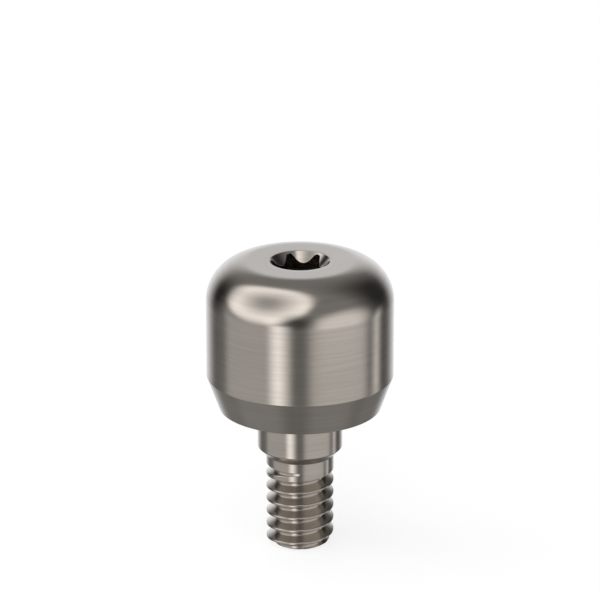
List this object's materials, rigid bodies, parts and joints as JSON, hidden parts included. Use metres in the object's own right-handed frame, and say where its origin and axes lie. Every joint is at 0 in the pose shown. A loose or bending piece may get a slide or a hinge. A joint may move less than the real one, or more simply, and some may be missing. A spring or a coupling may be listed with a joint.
{
  "type": "dental healing abutment",
  "caption": "One-piece turned titanium healing abutment with a domed head, six-lobed drive socket, centring stub and fine thread.",
  "frame": {"origin": "on the turning axis at the seat, the flat underside of the head", "axes": "+Z along the turning axis, from the threaded tip towards the drive socket"},
  "size_m": [0.0054, 0.0054, 0.0088],
  "materials": {
    "titanium": "fine turned"
  },
  "bodies": {
    "root": {"healing_abutment": "titanium"}
  },
  "joints": []
}
